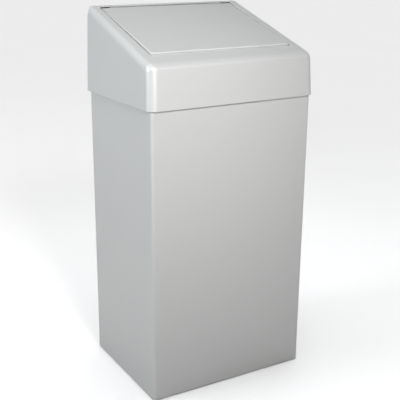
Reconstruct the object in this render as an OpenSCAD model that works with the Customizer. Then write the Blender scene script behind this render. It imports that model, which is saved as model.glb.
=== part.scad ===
// Litter bin of folded sheet steel: a straight body on four feet, and a hood with a sloping
// top that lifts off. A flap in the slope tips inwards about a rod, and a weight under its
// tail closes it again. Millimetres, +Z up, the front faces -Y, the origin is on the floor
// under the middle of the bounding box.

/* [Body] */
// Width of the body, outside
body_w = 320; // [260:1:400]
// Depth of the body, outside
body_d = 242; // [200:1:300]
// Height of the body sheet, from its lower edge to its rim
body_h = 560; // [440:1:700]
// Thickness of the sheet
sheet = 1; // [0.8:0.1:1.3]
// Outside bend radius of the two front upright edges
edge_r = 5; // [3:0.5:9]
// Outside bend radius of the rear upright edges
back_r = 2.5; // [2:0.25:4]
// Width of the rim that is turned in at the top
rim_w = 12; // [9:1:14]
// Width of the flanges that are turned in at the rear
back_flange_w = 20; // [16:1:30]
// Height of the wall fixing holes above the lower edge, and below the rim
fix_inset = 90; // [60:1:120]
// Distance between the two columns of wall fixing holes
fix_w = 200; // [120:1:210]
// Radius of a wall fixing hole
fix_r = 3.25; // [2.5:0.25:5]

/* [Base and feet] */
// Height of a foot
foot_h = 8; // [6:0.5:14]
// Radius of a foot
foot_r = 14; // [11:0.5:20]
// Clear height between the floor and the lower edge of the body
floor_gap = 2; // [1:0.5:5]
// Height of the upturned edge of the base pan
pan_h = 20; // [12:1:40]
// Distance of a foot's centre from the outside of the body
foot_inset = 38; // [28:1:60]

/* [Hood] */
// Space between the body and the inside of the hood, at the sides and the front
hood_gap = 4.5; // [3.5:0.25:8]
// Space between the body and the inside of the hood, at the rear
hood_back_gap = 1.5; // [1.2:0.1:4]
// How far the skirt of the hood hangs below the rim of the body
hood_overlap = 34; // [24:1:60]
// Height of the hood's front, from its lower edge to the slope
hood_front_h = 72; // [56:1:110]
// Angle of the slope
slope_angle = 18.5; // [14:0.5:24]
// How far the front leans back, in degrees
front_lean = 4; // [0:0.5:6]
// How far each side leans in, in degrees
side_lean = 2.2; // [0:0.1:3]
// Outside radius of the upright front corners and of the edges beside the slope
hood_r = 15; // [10:0.5:18]
// Outside bend radius between the front and the slope
bend_r = 9; // [4:0.5:14]
// Outside bend radius between the slope and the rear
ridge_r = 3; // [2:0.25:4]
// Height of the folded hem at the lower edge
hem_h = 10; // [6:1:16]

/* [Flap] */
// Distance from the side of the skirt to the flap
flap_side = 27.5; // [25:0.5:36]
// Distance up the slope from the front edge to the flap
flap_front = 42; // [32:1:60]
// Distance down the slope from the rear edge to the flap
flap_rear = 13; // [12:0.5:20]
// Gap all round the flap
flap_gap = 2; // [1.5:0.1:3]
// Depth of the flap's turned-down edges
flap_lip = 12; // [10:0.5:16]
// Distance from the flap's rear edge to the rod it tips about
pivot_back = 76; // [60:1:90]
// Depth of the rod's axis below the slope
pivot_drop = 7; // [6:0.25:8]
// Radius of the rod
rod_r = 3; // [2.5:0.25:3.5]
// How far the closed flap stands up at the front, in degrees
flap_tilt = 1.2; // [0:0.1:1.5]
// How far the flap opens, in degrees
flap_open = 58; // [40:1:62]

/* [Counterweight] */
// Length of the bar
bar_l = 256; // [180:1:270]
// Width of the bar, up the slope
bar_w = 30; // [20:1:32]
// Thickness of the bar
bar_t = 12; // [6:0.5:14]
// Distance from the bar to the flap's rear edge
bar_back = 14; // [13:0.5:20]

/* [Bag frame] */
// Radius of the wire
wire_r = 2.5; // [2:0.25:3]
// Bend radius of the wire's corners, at its middle
wire_bend = 25; // [15:1:40]
// Depth of the wire's middle below the rim
wire_drop = 23; // [20:1:32]

/* [Hidden] */
$fn = 48;

// Colours
coat = [0.85, 0.85, 0.84];
zinc = [0.72, 0.73, 0.74];
dark_steel = [0.35, 0.36, 0.38];
black = [0.08, 0.08, 0.08];
nylon = [0.92, 0.91, 0.88];

// Clearances
near = 0.05;        // between pieces that are fixed to each other
run = 0.05;         // all round a shaft that turns in a bush
touch = 0.3;        // between a moving piece and its stop
reach = 1500;       // farther than anything in the model
eps = 0.5;          // how far a cut runs past a face

// Places of the body
hood_over = hood_gap + sheet;
hood_back_over = hood_back_gap + sheet;
mid_y = (hood_over - hood_back_over) / 2;
body_front = mid_y - body_d / 2;
body_rear = mid_y + body_d / 2;
rim_z = floor_gap + body_h;
skirt_z = rim_z - hood_overlap;

// Rear rivets
rivet_rows = 6;
rivet_low = 45;
rivet_high = 25;
rivet_r = 2;
rivet_head_r = 3.8;
rivet_head_h = 0.8;
rivet_tail_r = rivet_r + 0.6;
rivet_tail_h = 1.5;
rim_cut = 1;        // between the rims of the wrap and of the rear panel

// Base, feet and their fasteners
screw_r = 2.5;
screw_head_r = 4.5;
screw_head_h = 3;
foot_recess_r = 6;
foot_recess_h = 4.5;
foot_taper = 2;
foot_nut_r = 4.6;
foot_nut_h = 4;
thread_out = 1.5;   // how far a foot's screw stands out of its nut

// Bag frame
wire_gap = 1;       // from the wire to the rim's inner edge, seen from above
wire_play = 0.2;    // from the wire to a tab's lip
wire_x = body_w / 2 - rim_w - wire_gap - wire_r;
wire_front = body_front + rim_w + wire_gap + wire_r;
wire_rear = body_rear - 2 * sheet - rim_w - wire_gap - wire_r;
wire_z = rim_z - wire_drop;
tab_t = 1.5;
tab_w = 26;
tab_leg = 18;
tab_inset = 4.5;    // from the end of the wire's bend to a tab
tab_y = (wire_rear - wire_front) / 2 - wire_bend - tab_w / 2 - tab_inset;

// Hood: faces moved inwards by t
skirt_x = body_w / 2 + hood_over;
hood_front = body_front - hood_over;
hood_rear = body_rear + hood_back_over;
slope_y = hood_front + hood_front_h * tan(front_lean);
slope_z = skirt_z + hood_front_h;
slope_len = (hood_rear - slope_y) / cos(slope_angle);
bend_turn = 90 - slope_angle - front_lean;
function side_x(z, t = 0) = skirt_x - t / cos(side_lean) - (z - skirt_z) * tan(side_lean);
function front_y(z, t = 0) = hood_front + t / cos(front_lean) + (z - skirt_z) * tan(front_lean);
function top_z(y, t = 0) = slope_z + (y - slope_y) * tan(slope_angle) - t / cos(slope_angle);
function bend_z(t) =
    slope_z + t * (tan(slope_angle) / cos(front_lean) - 1 / cos(slope_angle))
    / (1 - tan(slope_angle) * tan(front_lean));
disc_t = 0.01;      // thickness of the discs that the hood is stretched over
hood_flange_w = 14; // flange at the top of the hood's back
hood_flange_x = 20; // flanges at the sides, measured at the skirt

// Rests that carry the hood on the rim
rest_t = 1.5;
rest_gap = 1.5;
rest_lip = 10;
rest_leg = 16;
rest_side_l = 130;
rest_front_l = 200;
rim_room = 2;       // from the rests' top to the hood's rear flanges

// Flap, its opening and its pivot, measured up the slope from the front edge
flap_x = skirt_x - flap_side;
flap_end = slope_len - flap_rear;
open_x = flap_x + flap_gap;
open_front = flap_front - flap_gap;
open_end = flap_end + flap_gap;
lip_more = 3;       // how much deeper the opening's edges are than the flap's
open_lip = flap_lip + lip_more;
lip_past_bar = 1;   // how far the flap's side edges run past the counterweight
pivot_s = flap_end - pivot_back;
ear_r = rod_r + 5;  // round ears of the flap's sides about the rod

// Brackets, bushes, clips and stops
bracket_t = 2;
bracket_l = 40;
bracket_drop = 34;
bracket_foot = 2.5;
bush_wall = 1.25;
bush_flange_r = rod_r + 2.2;
bush_proud = 0.6;
clip_t = 1;
clip_r = rod_r + 2.4;
clip_room = 1;
clip_mouth = 1.2 * rod_r;
groove_d = 0.7;
rod_end = 4;
stop_r = 2;
stop_arm = 18;
stop_under = 0.5;   // how far a stop pin reaches past the inside of the flap's side
stop_out = 1;       // how far a stop pin stands out of its bracket

// Ledge and buffers under the flap's tail
ledge_t = 1.5;
ledge_drop = 6;
ledge_leg = 5;
ledge_shelf = 12;
ledge_side = 20;
ledge_gap = 0.4;    // from the edge of the opening to the ledge's web
buffer_r = 4.5;
buffer_taper = 0.5;
buffer_x = 80;
buffer_edge = 1;    // from the ledge's front edge to a buffer
buffer_s = open_end - ledge_shelf + buffer_r + buffer_edge;

// Studs of the counterweight
stud_r = 3;
stud_x = [-108, -36, 36, 108];
stud_nut_r = 5.5;
stud_nut_h = 5;
stud_out = 2;       // how far a stud stands out of its nut
stud_play = 0.2;
washer_r = 7;
washer_t = 1.2;

// ---- Helpers ----

// Outline of the body, with its own radii for the front and rear corners
module plan(w, d, front_r, rear_r) {
    translate([-w / 2 + front_r, 0]) square([w - 2 * front_r, d]);
    translate([-w / 2, front_r]) square([w, d - front_r - rear_r]);
    translate([-w / 2 + rear_r, d / 2]) square([w - 2 * rear_r, d / 2]);
    for (side = [-1, 1]) {
        translate([side * (w / 2 - front_r), front_r]) circle(front_r);
        translate([side * (w / 2 - rear_r), d - rear_r]) circle(rear_r);
    }
}

// The body's outline moved inwards by t, its back moved inwards by back_t
module body_plan(t, back_t) {
    translate([0, body_front + t])
        plan(body_w - 2 * t, body_d - t - back_t, edge_r - t, max(back_r - back_t, 0.5));
}

module box(low, high) {
    translate(low) cube(high - low);
}

module both_sides() {
    children();
    mirror([1, 0, 0]) children();
}

// Frame on the slope: X across, Y up the slope from the front edge, Z out of it
module on_slope() {
    translate([0, slope_y, slope_z]) rotate([slope_angle, 0, 0]) children();
}

// The same frame, tipped with the closed flap about its rod
module on_flap() {
    on_slope() translate([0, pivot_s, -pivot_drop]) rotate([-flap_tilt, 0, 0])
        translate([0, -pivot_s, pivot_drop]) children();
}

// A round bar across the bin between two places on X
module across(x0, x1, r) {
    translate([x0, 0, 0]) rotate([0, 90, 0]) cylinder(x1 - x0, r, r);
}

// ---- Body ----

module wall_holes(r) {
    for (x = [-fix_w / 2, fix_w / 2], z = [floor_gap + fix_inset, rim_z - fix_inset])
        translate([x, body_rear - 3 * sheet, z]) rotate([-90, 0, 0]) cylinder(5 * sheet, r, r);
}

// Runs its children at each rear rivet: Z out of the back, 0 on the back's outside
module at_back_rivets() {
    top = skirt_z - rivet_high;
    low = floor_gap + rivet_low;
    for (i = [0 : rivet_rows - 1], side = [-1, 1])
        translate([side * (body_w / 2 - back_flange_w / 2), body_rear,
                   low + i * (top - low) / (rivet_rows - 1)])
            rotate([-90, 0, 0]) children();
}

// Front and sides in one sheet, with its rim and its rear flanges turned in
module body_wrap() color(coat) difference() {
    translate([0, 0, floor_gap]) union() {
        difference() {
            linear_extrude(body_h) body_plan(0, 0);
            translate([0, 0, -eps]) linear_extrude(body_h + 2 * eps) body_plan(sheet, sheet);
            box([-body_w / 2 + back_flange_w, body_rear - 2 * sheet, -eps],
                [body_w / 2 - back_flange_w, body_rear + eps, body_h + eps]);
        }
        difference() {
            translate([0, 0, body_h - sheet]) linear_extrude(sheet) body_plan(sheet / 2, sheet);
            box([-body_w / 2 + rim_w, body_front + rim_w, body_h - 2 * sheet],
                [body_w / 2 - rim_w, body_rear + eps, body_h + eps]);
            box([-body_w / 2, body_rear - 2 * sheet - near, body_h - 2 * sheet],
                [body_w / 2, body_rear - sheet, body_h + eps]);
        }
    }
    at_back_rivets() translate([0, 0, -3 * sheet]) cylinder(4 * sheet, rivet_r, rivet_r);
}

// Back of the body, behind the flanges, with its own rim
module rear_panel() color(coat) difference() {
    half = body_w / 2 - sheet - back_r;
    rim_half = body_w / 2 - rim_w - rim_cut;
    union() {
        box([-half, body_rear - 2 * sheet, floor_gap], [half, body_rear - sheet, rim_z]);
        box([-rim_half, body_rear - 2 * sheet - rim_w, rim_z - sheet],
            [rim_half, body_rear - sheet, rim_z]);
    }
    wall_holes(fix_r);
    at_back_rivets() translate([0, 0, -3 * sheet]) cylinder(4 * sheet, rivet_r, rivet_r);
}

// Tray that closes the body at the bottom
module base_pan() color(coat) {
    inset = sheet + near;
    difference() {
        translate([0, 0, foot_h]) linear_extrude(pan_h) body_plan(inset, sheet + inset);
        translate([0, 0, foot_h + sheet])
            linear_extrude(pan_h) body_plan(inset + sheet, 2 * sheet + inset);
        at_feet() cylinder(foot_h + 3 * sheet, screw_r + near, screw_r + near);
    }
}

module at_feet() {
    for (x = [-1, 1], y = [body_front + foot_inset, body_rear - foot_inset])
        translate([x * (body_w / 2 - foot_inset), y, 0]) children();
}

module feet() color(black) at_feet() difference() {
    cylinder(foot_h, foot_r - foot_taper, foot_r);
    translate([0, 0, -eps]) cylinder(foot_recess_h + eps, foot_recess_r, foot_recess_r);
    cylinder(foot_h + eps, screw_r + near, screw_r + near);
}

module foot_screws() color(zinc) at_feet() translate([0, 0, foot_recess_h]) {
    translate([0, 0, -screw_head_h]) cylinder(screw_head_h, screw_head_r, screw_head_r);
    translate([0, 0, -eps])
        cylinder(foot_h - foot_recess_h + sheet + foot_nut_h + thread_out + eps, screw_r, screw_r);
}

module foot_nuts() color(zinc) at_feet() translate([0, 0, foot_h + sheet]) difference() {
    cylinder(foot_nut_h, foot_nut_r, foot_nut_r, $fn = 6);
    translate([0, 0, -eps]) cylinder(foot_nut_h + 2 * eps, screw_r + near, screw_r + near);
}

// Blind rivets through the rear flanges and the rear panel
module back_rivets() color(zinc) at_back_rivets() {
    cylinder(rivet_head_h, rivet_head_r, rivet_tail_r);
    translate([0, 0, -2 * sheet]) cylinder(2 * sheet + eps, rivet_r - near, rivet_r - near);
    translate([0, 0, -2 * sheet - rivet_tail_h])
        cylinder(rivet_tail_h, rivet_tail_r, rivet_tail_r);
}

// Wire that the bag is folded over
module bag_frame() color(zinc) translate([0, 0, wire_z]) {
    x = wire_x - wire_bend;
    front = wire_front + wire_bend;
    rear = wire_rear - wire_bend;
    for (y = [wire_front, wire_rear]) translate([0, y, 0]) across(-x, x, wire_r);
    for (side = [-1, 1])
        translate([side * wire_x, front, 0]) rotate([-90, 0, 0]) cylinder(rear - front, wire_r, wire_r);
    for (c = [[x, rear, 0], [-x, rear, 90], [-x, front, 180], [x, front, 270]])
        translate([c[0], c[1], 0]) rotate([0, 0, c[2]])
            rotate_extrude(angle = 90) translate([wire_bend, 0]) circle(wire_r);
}

// Bent tabs on the side walls that the wire lies on
module frame_tabs() color(coat) both_sides() for (side = [-1, 1]) {
    y = mid_y + side * tab_y;
    wall = body_w / 2 - sheet;
    end = wire_x - wire_r - wire_play;
    low = wire_z - wire_r - tab_t;
    box([end - tab_t, y - tab_w / 2, low], [wall, y + tab_w / 2, low + tab_t]);
    box([end - tab_t, y - tab_w / 2, low], [end, y + tab_w / 2, wire_z]);
    box([wall - tab_t, y - tab_w / 2, low - tab_leg], [wall, y + tab_w / 2, low + tab_t]);
}

// ---- Hood ----

// The hood's outside at t = 0; at t = the sheet's thickness, the space inside it
module hood_block(t) {
    r = hood_r - t;
    bend_in = bend_r * tan(bend_turn / 2);
    bend_top = bend_z(t) - bend_in * cos(front_lean);
    slope_r_z = slope_z + bend_in * sin(slope_angle) - hood_r * cos(slope_angle);
    ridge_y = hood_rear - ridge_r;
    low = skirt_z - t;
    hull() {
        both_sides() {
            for (z = [low, bend_top])
                translate([side_x(z, t) - r, front_y(z, t) + r, z]) cylinder(disc_t, r, r);
            translate([side_x(slope_r_z, t) - r, slope_y, slope_z]) rotate([slope_angle, 0, 0])
                translate([0, bend_in, -hood_r]) rotate([90, 0, 0]) cylinder(disc_t, r, r);
            for (k = [[ridge_y, 0], [hood_rear - t, ridge_r - t]]) {
                z = top_z(ridge_y, t) - r;
                translate([side_x(z, t) - r, k[0], z]) rotate([90, 0, 0])
                    cylinder(disc_t, r - k[1], r - k[1]);
            }
            translate([side_x(low, t) - back_r + t, hood_rear - back_r, low])
                cylinder(disc_t, back_r - t, back_r - t);
        }
        half = side_x(slope_z) - hood_r;
        translate([0, front_y(bend_z(bend_r), bend_r), bend_z(bend_r)])
            across(-half, half, bend_r - t);
        rear_half = side_x(top_z(ridge_y)) - hood_r;
        translate([0, ridge_y, top_z(ridge_y, ridge_r)])
            across(-rear_half, rear_half, ridge_r - t);
    }
}

// Front, sides and slope of the hood
module hood_shell() color(coat) difference() {
    union() {
        intersection() {
            union() {
                difference() {
                    hood_block(0);
                    hood_block(sheet);
                }
                // flanges that the back is welded to
                difference() {
                    hood_block(sheet / 2);
                    box([-reach, -reach, 0], [reach, hood_rear - 2 * sheet, reach]);
                    box([-skirt_x + sheet + hood_flange_x, 0, 0],
                        [skirt_x - sheet - hood_flange_x, reach,
                         top_z(hood_rear) - hood_flange_w]);
                    box([-reach, 0, 0], [reach, reach, rim_z + rest_t + rim_room]);
                }
                // hem, folded up inside the lower edge
                difference() {
                    hood_block(sheet / 2);
                    hood_block(2 * sheet);
                    box([-reach, -reach, skirt_z + hem_h], [reach, reach, reach]);
                }
            }
            box([-reach, -reach, skirt_z], [reach, hood_rear - sheet, reach]);
        }
        // turned-down edges of the opening
        on_slope() {
            both_sides() box([open_x, open_front - sheet, -open_lip],
                             [open_x + sheet, open_end, -sheet / 2]);
            box([-open_x, open_front - sheet, -open_lip], [open_x, open_front, -sheet / 2]);
        }
    }
    on_slope() box([-open_x, open_front, -ledge_drop], [open_x, open_end, eps]);
    on_slope() both_sides() translate([0, pivot_s, -pivot_drop])
        across(open_x - eps, open_x + sheet + eps, bush_flange_r + touch);
}

// Back of the hood
module hood_back() color(coat) intersection() {
    hood_block(0);
    box([-reach, hood_rear - sheet, skirt_z], [reach, reach, reach]);
}

// A strip bent to lie on the rim: one leg is welded to the wall of the hood, a lip hangs
// inside the rim. low and high are the wall's places at the rim and at the top of the leg,
// rim is the place of the rim's inner edge, all measured outwards.
module rest_strip(low, high, rim, l) {
    lip = rim - rest_gap;
    knee = low + (high - low) * rest_t / rest_leg - rest_t;
    linear_extrude(l, center = true)
        polygon([[low, rim_z], [high, rim_z + rest_leg], [high - rest_t, rim_z + rest_leg],
                 [knee, rim_z + rest_t], [lip - rest_t, rim_z + rest_t],
                 [lip - rest_t, rim_z - rest_lip], [lip, rim_z - rest_lip], [lip, rim_z]]);
}

module side_rest() translate([0, mid_y, 0]) rotate([90, 0, 0])
    rest_strip(side_x(rim_z, sheet), side_x(rim_z + rest_leg, sheet),
               body_w / 2 - rim_w, rest_side_l);

module hood_rest_right() color(zinc) side_rest();
module hood_rest_left() color(zinc) mirror([1, 0, 0]) side_rest();

module hood_rest_front() color(zinc) rotate([0, 0, -90]) rotate([90, 0, 0])
    rest_strip(-front_y(rim_z, sheet), -front_y(rim_z + rest_leg, sheet),
               -body_front - rim_w, rest_front_l);

// Plate beside the opening that carries the flap's rod and its stop
module pivot_bracket() on_slope() difference() {
    face = open_x + sheet;
    union() {
        box([face, pivot_s - bracket_l / 2, -bracket_drop],
            [face + bracket_t, pivot_s + bracket_l / 2, -sheet]);
        box([face, pivot_s - bracket_l / 2, -sheet - bracket_t],
            [face + bracket_t + bracket_foot, pivot_s + bracket_l / 2, -sheet]);
    }
    translate([0, pivot_s, -pivot_drop])
        across(face - eps, face + bracket_t + eps, rod_r + run + bush_wall + near);
    // room for the clip beside the turned-out foot
    translate([0, pivot_s, -pivot_drop])
        across(face + bracket_t, face + bracket_t + bracket_foot + eps, clip_r + clip_room);
    at_stop() across(face - eps, face + bracket_t + eps, stop_r + near);
}

module pivot_bracket_right() color(zinc) pivot_bracket();
module pivot_bracket_left() color(zinc) mirror([1, 0, 0]) pivot_bracket();

// Flanged bush, pressed into the bracket from the inside
module pivot_bush() on_slope() translate([0, pivot_s, -pivot_drop]) difference() {
    face = open_x + sheet;
    union() {
        across(face - eps, face + bracket_t + bush_proud, rod_r + run + bush_wall);
        across(open_x - bush_proud, face, bush_flange_r);
    }
    across(open_x - 2 * bush_proud, face + bracket_t + 2 * bush_proud, rod_r + run);
}

module pivot_bush_right() color(nylon) pivot_bush();
module pivot_bush_left() color(nylon) mirror([1, 0, 0]) pivot_bush();

// Where the lower edge of the flap's side meets its stop when the flap is open
module at_stop() {
    turn = flap_open - flap_tilt;
    out = flap_lip - pivot_drop + stop_r + touch;
    translate([0, pivot_s - stop_arm * cos(turn) + out * sin(turn),
               -pivot_drop - stop_arm * sin(turn) - out * cos(turn)]) children();
}

module stop_pins() color(zinc) on_slope() both_sides() at_stop()
    across(flap_x - sheet - stop_under, open_x + sheet + bracket_t + stop_out, stop_r);

// Strip across the back of the opening that the flap's tail closes on
module tail_ledge() color(zinc) on_slope() {
    half = open_x - ledge_side;
    back = open_end + ledge_gap;
    box([-half, back, -sheet - ledge_t], [half, back + ledge_leg, -sheet]);
    box([-half, back, -ledge_drop - ledge_t], [half, back + ledge_t, -sheet]);
    box([-half, open_end - ledge_shelf, -ledge_drop - ledge_t], [half, back + ledge_t, -ledge_drop]);
}

module tail_buffers() color(black) on_slope() {
    flap_under = sheet + (buffer_s + buffer_r - pivot_s) * sin(flap_tilt);
    for (x = [-buffer_x, 0, buffer_x]) translate([x, buffer_s, -ledge_drop])
        cylinder(ledge_drop - flap_under - touch, buffer_r, buffer_r - buffer_taper);
}

// ---- Flap ----

module flap_panel() color(coat) on_flap() difference() {
    union() {
        box([-flap_x, flap_front, -sheet], [flap_x, flap_end, 0]);
        box([-flap_x, flap_front, -flap_lip], [flap_x, flap_front + sheet, 0]);
        both_sides() {
            box([flap_x - sheet, flap_front, -flap_lip], [flap_x, flap_end - bar_back + lip_past_bar, 0]);
            translate([0, pivot_s, -pivot_drop]) across(flap_x - sheet, flap_x, ear_r);
        }
    }
    translate([0, pivot_s, -pivot_drop]) across(-flap_x - eps, flap_x + eps, rod_r + near);
    box([-flap_x - eps, pivot_s - 2 * ear_r, 0], [flap_x + eps, pivot_s + 2 * ear_r, ear_r]);
}

module pivot_rod() color(zinc) on_flap() translate([0, pivot_s, -pivot_drop]) {
    groove = open_x + sheet + bracket_t + bush_proud + 2 * touch;
    across(-groove, groove, rod_r);
    both_sides() {
        across(groove - eps, groove + clip_t + 2 * near + eps, rod_r - groove_d);
        across(groove + clip_t + 2 * near, groove + clip_t + rod_end, rod_r);
    }
}

module rod_clips() color(dark_steel) on_flap() translate([0, pivot_s, -pivot_drop]) {
    groove = open_x + sheet + bracket_t + bush_proud + 2 * touch + near;
    both_sides() difference() {
        across(groove, groove + clip_t, clip_r);
        across(groove - eps, groove + clip_t + eps, rod_r - groove_d + near);
        translate([groove - eps, -clip_mouth / 2, -2 * clip_r])
            cube([clip_t + 2 * eps, clip_mouth, 2 * clip_r]);
    }
}

module at_studs() {
    for (x = stud_x) translate([x, flap_end - bar_back - bar_w / 2, -sheet]) children();
}

module counterweight_bar() color(dark_steel) on_flap() difference() {
    box([-bar_l / 2, flap_end - bar_back - bar_w, -sheet - bar_t],
        [bar_l / 2, flap_end - bar_back, -sheet]);
    at_studs() translate([0, 0, -bar_t - eps])
        cylinder(bar_t + 2 * eps, stud_r + stud_play, stud_r + stud_play);
}

// Studs that are welded to the flap from below
module weight_studs() color(zinc) on_flap() at_studs()
    translate([0, 0, -bar_t - washer_t - stud_nut_h - stud_out])
        cylinder(bar_t + washer_t + stud_nut_h + stud_out, stud_r, stud_r);

module weight_washers() color(zinc) on_flap() at_studs()
    translate([0, 0, -bar_t - washer_t]) difference() {
        cylinder(washer_t, washer_r, washer_r);
        translate([0, 0, -eps]) cylinder(washer_t + 2 * eps, stud_r + stud_play, stud_r + stud_play);
    }

module weight_nuts() color(zinc) on_flap() at_studs()
    translate([0, 0, -bar_t - washer_t - stud_nut_h]) difference() {
        cylinder(stud_nut_h, stud_nut_r, stud_nut_r, $fn = 6);
        translate([0, 0, -eps]) cylinder(stud_nut_h + 2 * eps, stud_r + near, stud_r + near);
    }

body_wrap();
rear_panel();
base_pan();
back_rivets();
feet();
foot_screws();
foot_nuts();
bag_frame();
frame_tabs();
hood_shell();
hood_back();
hood_rest_left();
hood_rest_right();
hood_rest_front();
pivot_bracket_left();
pivot_bracket_right();
pivot_bush_left();
pivot_bush_right();
stop_pins();
tail_ledge();
tail_buffers();
flap_panel();
pivot_rod();
rod_clips();
counterweight_bar();
weight_studs();
weight_washers();
weight_nuts();
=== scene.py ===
"""Builds the looks of a litter bin of folded, powder-coated sheet steel round its CAD frame.

Shapes are worked out in millimetres and scaled to metres when a piece is published.
"""

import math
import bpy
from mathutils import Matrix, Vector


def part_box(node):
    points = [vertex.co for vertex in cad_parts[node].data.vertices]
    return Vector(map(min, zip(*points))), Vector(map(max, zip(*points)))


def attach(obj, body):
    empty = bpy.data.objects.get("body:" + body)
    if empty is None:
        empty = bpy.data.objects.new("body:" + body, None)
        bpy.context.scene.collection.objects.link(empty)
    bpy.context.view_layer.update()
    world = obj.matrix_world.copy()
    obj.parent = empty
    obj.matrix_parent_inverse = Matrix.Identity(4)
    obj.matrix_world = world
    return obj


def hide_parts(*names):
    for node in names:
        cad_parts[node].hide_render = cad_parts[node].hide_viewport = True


bl_info = {
    "name": "Sheet Steel Litter Bin",
    "version": (1, 0, 0),
    "blender": (4, 5, 0),
    "location": "View3D > Sidebar > Bin",
    "description": "Builds a litter bin of folded sheet steel with a lift-off hood and a tipping flap",
    "category": "Object",
}

import bmesh
import bpy
from bpy.props import FloatProperty, FloatVectorProperty, PointerProperty
from mathutils import Matrix, Vector

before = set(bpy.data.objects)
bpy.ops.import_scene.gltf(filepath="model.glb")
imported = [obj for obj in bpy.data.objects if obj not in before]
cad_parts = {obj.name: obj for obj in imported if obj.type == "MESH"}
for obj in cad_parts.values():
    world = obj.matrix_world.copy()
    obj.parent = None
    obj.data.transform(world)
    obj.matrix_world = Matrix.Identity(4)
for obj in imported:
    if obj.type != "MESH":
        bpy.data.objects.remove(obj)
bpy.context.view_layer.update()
MM = 0.001
FULL_TURN = 2 * math.pi
RIGHT_ANGLE = math.pi / 2
WEIGHT = "bevel_weight_edge"

# Sizes of the fittings, in millimetres
ROD = 3
ROD_BORE = ROD + 0.05
CLIP_GROOVE = 2.3
STRIP = 1.5  # thickness of the tabs, the rests and the ledge
SMALL_EDGE = 0.3  # how far the cut edges of the small sheet parts are rounded
FOOT_HOLE = 2.55
FOOT_SEAT = 4.5  # height of a screw's seat in its foot
RIVET_HEAD = 3.8
RIVET_ROWS = 6
STOP_PIN = 2
STUD_PLACES = (-108, -36, 36, 108)
BUFFER_PLACES = (-80, 0, 80)


# ---- Settings that a user would change ----


def length(name, default, about):
    """A length in millimetres, kept in metres."""
    return FloatProperty(name=name, description=about, default=default * MM, min=0, precision=5,
                         unit="LENGTH")


def angle(name, default, about):
    return FloatProperty(name=name, description=about, default=math.radians(default),
                         subtype="ANGLE", unit="ROTATION")


def share(name, default, about):
    return FloatProperty(name=name, description=about, default=default, min=0, max=1,
                         subtype="FACTOR")


def colour(name, default, about):
    return FloatVectorProperty(name=name, description=about, default=default, min=0, max=1,
                               size=3, subtype="COLOR")


def power(name, default, place):
    return FloatProperty(name=name, description="Power of " + place, default=default, min=0,
                         unit="POWER")


class BinSheetSettings(bpy.types.PropertyGroup):
    """Sizes of the folded sheet metal of the body"""

    sheet: length("Sheet", 1, "Thickness of the coated sheet")
    soft_edge: length("Soft edge", 0.22, "How far the cut edges of the sheet are rounded")
    fold: length("Fold", 1.6, "Outside radius of the narrow folds")
    corner: length("Corner", 5, "Outside radius of the two front upright edges")
    back_corner: length("Back corner", 2.5, "Outside radius of the rear upright edges")
    rim: length("Rim", 12, "Width of the rim that is turned in at the top")
    back_flange: length("Back flange", 20, "Width of the flanges that are turned in at the rear")
    hole: length("Wall hole", 3.25, "Radius of a wall fixing hole")
    hole_in: length("Hole inset", 60, "From a side of the body to a wall fixing hole")
    hole_up: length("Hole height", 90, "From the ends of the body to a wall fixing hole")
    foot_in: length("Foot inset", 38, "From the outside of the body to a foot's middle")
    wire_bend: length("Wire bend", 25, "Bend radius of the bag wire, at its middle")


class BinHoodSettings(bpy.types.PropertyGroup):
    """Sizes of the hood"""

    front_height: length("Front height", 72, "From the lower edge to the slope, at the front")
    slope: angle("Slope", 18.5, "Angle of the slope")
    front_lean: angle("Front lean", 4, "How far the front leans back")
    side_lean: angle("Side lean", 2.2, "How far each side leans in")
    corner: length("Corner", 15, "Outside radius of the upright corners and beside the slope")
    front_bend: length("Front bend", 9, "Outside radius between the front and the slope")
    ridge: length("Ridge", 3, "Outside radius between the slope and the back")
    hem: length("Hem", 10, "Height of the folded hem")
    back_flange: length("Back flange", 20, "Width of the flanges beside the back plate")
    top_flange: length("Top flange", 14, "Height of the flange above the back plate")
    gap: length("Gap", 2, "Gap between the flap and its opening")
    rear_gap: length("Rear gap", 1, "Gap behind the flap's tail")
    lip: length("Lip", 15, "Depth of the turned-down edges of the opening")


class BinFlapSettings(bpy.types.PropertyGroup):
    """Sizes of the flap and of its counterweight"""

    front: length("Front", 42, "Up the slope from its front edge to the flap")
    rear: length("Rear", 13, "Down the slope from its rear edge to the flap")
    lip: length("Lip", 12, "Depth of the flap's turned-down edges")
    fold: length("Fold", 1.8, "Outside radius of the flap's folds")
    tilt: angle("Tilt", 1.2, "How far the closed flap stands up at its front")
    ear: length("Ear", 8, "Radius of the ears round the rod")
    bar_back: length("Bar place", 14, "From the counterweight to the flap's rear edge")
    bar_width: length("Bar width", 30, "Width of the counterweight, up the slope")
    bar_height: length("Bar thickness", 12, "Thickness of the counterweight")
    bar_length: length("Bar length", 256, "Length of the counterweight")


class BinFinishSettings(bpy.types.PropertyGroup):
    """Colours and finishes"""

    coat: colour("Coat", (0.72, 0.712, 0.722), "Colour of the powder coat")
    coat_gloss: share("Coat roughness", 0.44, "Roughness of the powder coat")
    coat_peel: share("Orange peel", 0.10, "Strength of the coat's orange peel")
    zinc: colour("Zinc", (0.60, 0.62, 0.64), "Colour of the zinc plating")
    mill_scale: colour("Mill scale", (0.085, 0.09, 0.10), "Colour of the hot-rolled bar")
    spring: colour("Spring steel", (0.05, 0.05, 0.055), "Colour of the clips")
    nylon: colour("Nylon", (0.78, 0.76, 0.68), "Colour of the bushes")
    rubber: colour("Rubber", (0.025, 0.025, 0.026), "Colour of the feet and buffers")
    floor: colour("Floor", (0.86, 0.86, 0.86), "Colour of the floor")


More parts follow.
